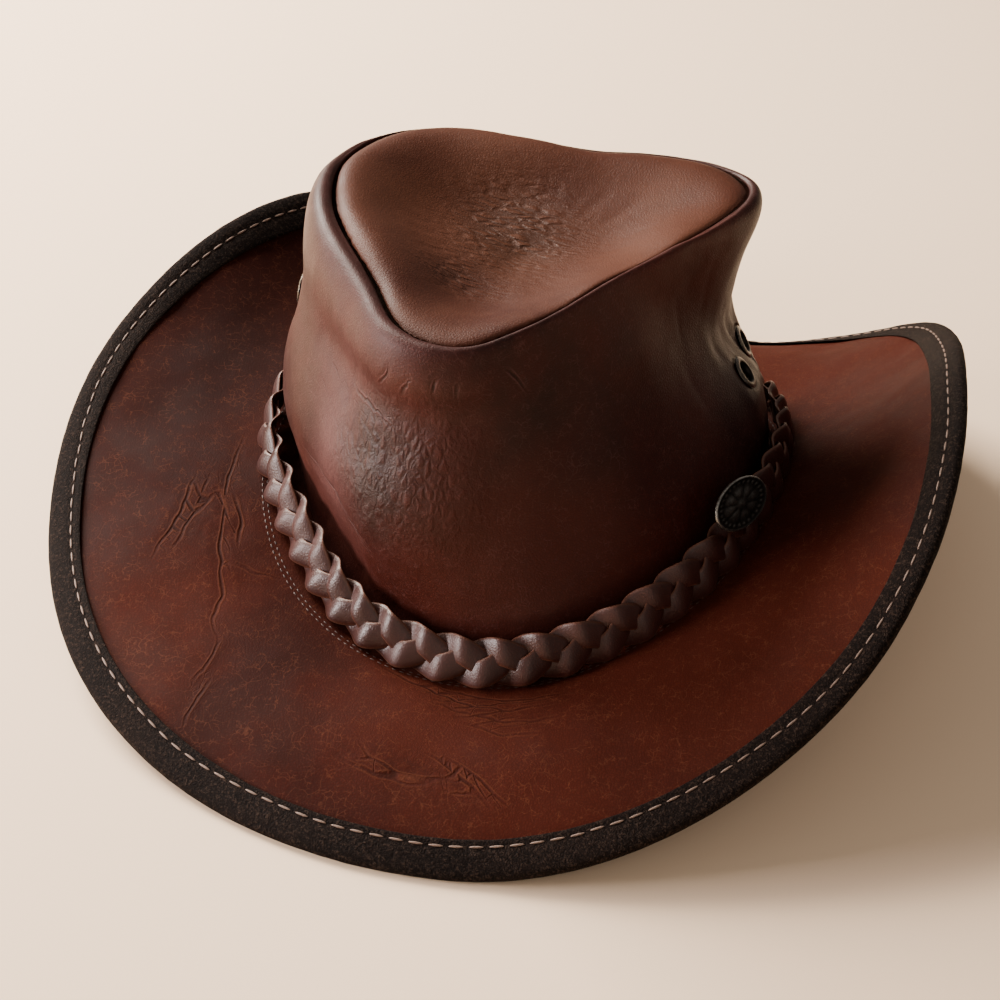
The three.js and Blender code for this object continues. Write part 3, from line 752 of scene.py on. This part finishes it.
# Each row: a place on the band's middle line in mm, then the way across the band there.
band_route = (
    (6.7, -106.2, 26.7, 0.00, 0.48, 0.88),
    (29.0, -105.6, 27.9, -0.14, 0.49, 0.86),
    (49.5, -97.1, 31.0, -0.23, 0.39, 0.89),
    (66.8, -83.6, 35.6, -0.29, 0.30, 0.91),
    (80.9, -67.0, 41.3, -0.39, 0.27, 0.88),
    (91.2, -47.8, 46.4, -0.44, 0.19, 0.88),
    (98.0, -26.8, 50.5, -0.43, 0.11, 0.89),
    (101.7, -4.8, 53.3, -0.35, 0.02, 0.94),
    (102.3, 17.6, 54.2, -0.25, -0.03, 0.97),
    (99.8, 39.9, 52.5, -0.22, -0.06, 0.97),
    (94.0, 61.0, 47.4, -0.24, -0.11, 0.96),
    (83.5, 80.3, 43.1, -0.27, -0.19, 0.94),
    (68.6, 96.4, 38.5, -0.29, -0.32, 0.90),
    (50.2, 108.6, 34.3, -0.25, -0.44, 0.86),
    (29.3, 116.4, 32.6, -0.13, -0.48, 0.86),
    (7.0, 118.9, 32.5, -0.00, -0.48, 0.88),
    (-15.3, 116.7, 32.9, 0.12, -0.45, 0.88),
    (-36.0, 109.2, 37.1, 0.23, -0.40, 0.89),
    (-54.2, 97.1, 42.1, 0.30, -0.34, 0.89),
    (-69.3, 81.1, 46.7, 0.36, -0.26, 0.90),
    (-80.8, 62.2, 50.7, 0.37, -0.18, 0.91),
    (-88.5, 41.4, 53.9, 0.34, -0.10, 0.93),
    (-92.4, 19.3, 55.2, 0.29, -0.03, 0.96),
    (-92.7, -3.2, 54.9, 0.27, 0.01, 0.96),
    (-89.4, -25.3, 52.9, 0.28, 0.06, 0.96),
    (-80.8, -45.6, 49.2, 0.31, 0.13, 0.94),
    (-67.1, -62.7, 44.1, 0.34, 0.22, 0.91),
    (-51.5, -77.6, 37.9, 0.32, 0.32, 0.89),
    (-34.8, -91.5, 32.1, 0.24, 0.40, 0.89),
    (-15.2, -101.7, 28.2, 0.13, 0.44, 0.89),
)
strand_turns = 15
strand_sections = strand_turns * 24
strand_count = 3
strand_sway = 0.0044
strand_half = 0.0052
strand_thick = 0.0013
strand_lift = 0.0019
strand_sag = 0.0008


# Band spot: a place on the band's middle line at a share of its loop, with the way across
# it, by a smooth curve through the rows of the route in mm.
def band_spot(share):
    rows = len(band_route)
    place = (share % 1.0) * rows
    index = int(place)
    t = place - index
    knots = [np.array(band_route[(index + k) % rows]) for k in (-1, 0, 1, 2)]
    bend = knots[0] * (-t + 2 * t * t - t ** 3) + knots[1] * (2 - 5 * t * t + 3 * t ** 3)
    bend = bend + knots[2] * (t + 4 * t * t - 3 * t ** 3) + knots[3] * (t ** 3 - t * t)
    return Vector(bend[:3] * 0.0005), Vector(bend[3:]).normalized()


def band_frame(share):
    middle, across = band_spot(share)
    run = (band_spot(share + 0.001)[0] - band_spot(share - 0.001)[0]).normalized()
    across = (across - run * across.dot(run)).normalized()
    return middle, across, run.cross(across)


def strand_ring(share, offset):
    middle, across, off = band_frame(share)
    phase = 2 * math.pi * (share * strand_turns + offset)
    sway = strand_sway * math.sin(phase)
    lift = -strand_lift * (math.sin(2 * phase) - 0.22 * math.sin(4 * phase))
    half = strand_half * (1 + 0.08 * math.cos(2 * phase + 0.6))
    points = []
    for v in (-1, -0.8, -0.4, 0, 0.4, 0.8, 1):
        height = strand_thick * (0.5 if abs(v) < 1 else 0.22)
        points.append((v, height - strand_sag * v * v))
    for v in (1, 0.7, 0, -0.7, -1):
        height = -strand_thick * (0.5 if abs(v) < 1 else 0.30)
        points.append((v, height - strand_sag * v * v))
    return [middle + across * (sway + v * half) + off * (lift + height) for v, height in points]


ring_rim = (1, 0.8, 0.3, 0, 0.3, 0.8, 1, 1, 0.9, 0.9, 0.9, 1)
band_finish = tan_leather(
    "band_finish",
    dark=(0.017, 0.0029, 0.0018),
    middle=(0.030, 0.0056, 0.0035),
    light=(0.043, 0.0092, 0.0058),
    pale=(0.16, 0.060, 0.030),
    tint_and_painted_shade=(0.10, 0.028, 0.012),
    gloss=0.40, shine=0.35, coat=0.15, scuff=0.06)
for number in range(1, strand_count + 1):
    rings = [strand_ring(k / strand_sections, (number - 1) / strand_count) for k in range(strand_sections)]
    size = len(rings[0])
    corners = [point for ring in rings for point in ring]
    faces = []
    for k in range(strand_sections):
        after = (k + 1) % strand_sections
        for j in range(size):
            following = (j + 1) % size
            faces.append((
                k * size + j,
                after * size + j,
                after * size + following,
                k * size + following,
            ))
    shape = bpy.data.meshes.new("plait_strand_%d" % number)
    shape.from_pydata(corners, [], faces)
    strand = bpy.data.objects.new("plait_strand_%d" % number, shape)
    bpy.context.scene.collection.objects.link(strand)
    pick(strand)
    bpy.ops.object.mode_set(mode="EDIT")
    bpy.ops.mesh.select_all(action="SELECT")
    bpy.ops.mesh.normals_make_consistent(inside=False)
    bpy.ops.object.mode_set(mode="OBJECT")
    rim = np.tile(np.array(ring_rim, float), strand_sections)
    write_mask(strand, "wear_and_painted_sheen", np.clip((rim - 0.86) / 0.14, 0, 1) * 0.9)
    subdivide(strand, 1)
    bpy.ops.object.shade_smooth()
    finish_piece(strand, band_finish, ["band_strand_%d" % number])

# Medallion
# A small cast oval of blackened metal with a bright, rubbed rim and a low rosette inside a
# ring of beads, tied on at the plait by the wearer's left temple.
medallion = refine("medallion", "medallion_casting", 3)
place, facing = read_points(medallion)
middle = place.mean(axis=0)
_, _, axes = np.linalg.svd(place - middle, full_matrices=False)
face = axes[2] * math.copysign(1, axes[2] @ [0.85, -0.3, 0.4])
local = (place - middle) @ axes.T
half_length = 0.01525
half_width = 0.0095
long_share = local[:, 0] / half_length
short_share = local[:, 1] / half_width
radius = np.hypot(long_share, short_share)
turn = np.arctan2(short_share, long_share)
front = facing @ face > 0.3
petals = np.abs(np.cos(4 * turn)) ** 0.6 * np.exp(-((radius - 0.42) / 0.20) ** 2) * 0.00035
heart = np.exp(-(radius / 0.13) ** 2) * 0.00045
beads = (0.5 + 0.5 * np.cos(26 * turn)) * np.exp(-((radius - 0.76) / 0.055) ** 2) * 0.00030
relief = (petals + heart + beads) * front
write_points(medallion, place + np.outer(relief, face))
rim = np.exp(-((radius - 0.95) / 0.045) ** 2)
write_mask(medallion, "wear_and_painted_sheen", np.clip(rim + relief * 900, 0, 1))


def dark_metal(name, deep, bright, gloss):
    material = bpy.data.materials.new(name)
    material.use_nodes = True
    tree = material.node_tree
    shader = tree.nodes["Principled BSDF"]
    place_node = tree.nodes.new("ShaderNodeTexCoord").outputs["Object"]
    spots = add_noise(tree, place_node, 700.0, 4.0, 0.65).outputs["Fac"]
    rub = add_math(tree, "MULTIPLY", read_mask(tree, "wear_and_painted_sheen"), map_range(tree, spots, 0.30, 0.62, 0.35, 1.0))
    tone = mix_colour(tree, rub, deep, bright)
    tree.links.new(tone, shader.inputs["Base Color"])
    rough = map_range(tree, rub, 0.0, 1.0, gloss + 0.15, gloss)
    tree.links.new(rough, shader.inputs["Roughness"])
    shader.inputs["Metallic"].default_value = 0.9
    bump(tree, shader, spots, 0.00008)
    return material


medallion_finish = dark_metal("medallion_finish", (0.012, 0.011, 0.010), (0.36, 0.35, 0.33), 0.30)
finish_piece(medallion, medallion_finish, ["medallion"])

# Vent eyelets
# Two turned metal eyelets on each side, pushed through the crown wall and clinched behind
# it, darkened with age and bright where they rub.
eyelet_lift = 0.0003
eyelet_finish = dark_metal("eyelet_finish", (0.012, 0.010, 0.009), (0.16, 0.14, 0.12), 0.22)
for side in ("right", "left"):
    for end in ("front", "back"):
        node = "eyelet_%s_%s" % (side, end)
        eyelet = refine(node, "vent_%s_%s" % (side, end), 2)
        place, facing = read_points(eyelet)
        middle = place.mean(axis=0)
        away = np.linalg.norm(place - middle, axis=1)
        out = middle - [*crown_middle, middle[2]]
        out = out / np.linalg.norm(out)
        write_points(eyelet, place + out * (wall_rise(middle[None])[0] + eyelet_lift))
        write_mask(eyelet, "wear_and_painted_sheen", np.clip((away - 0.0048) / 0.0022, 0, 1) * 0.8)
        finish_piece(eyelet, eyelet_finish, [node])
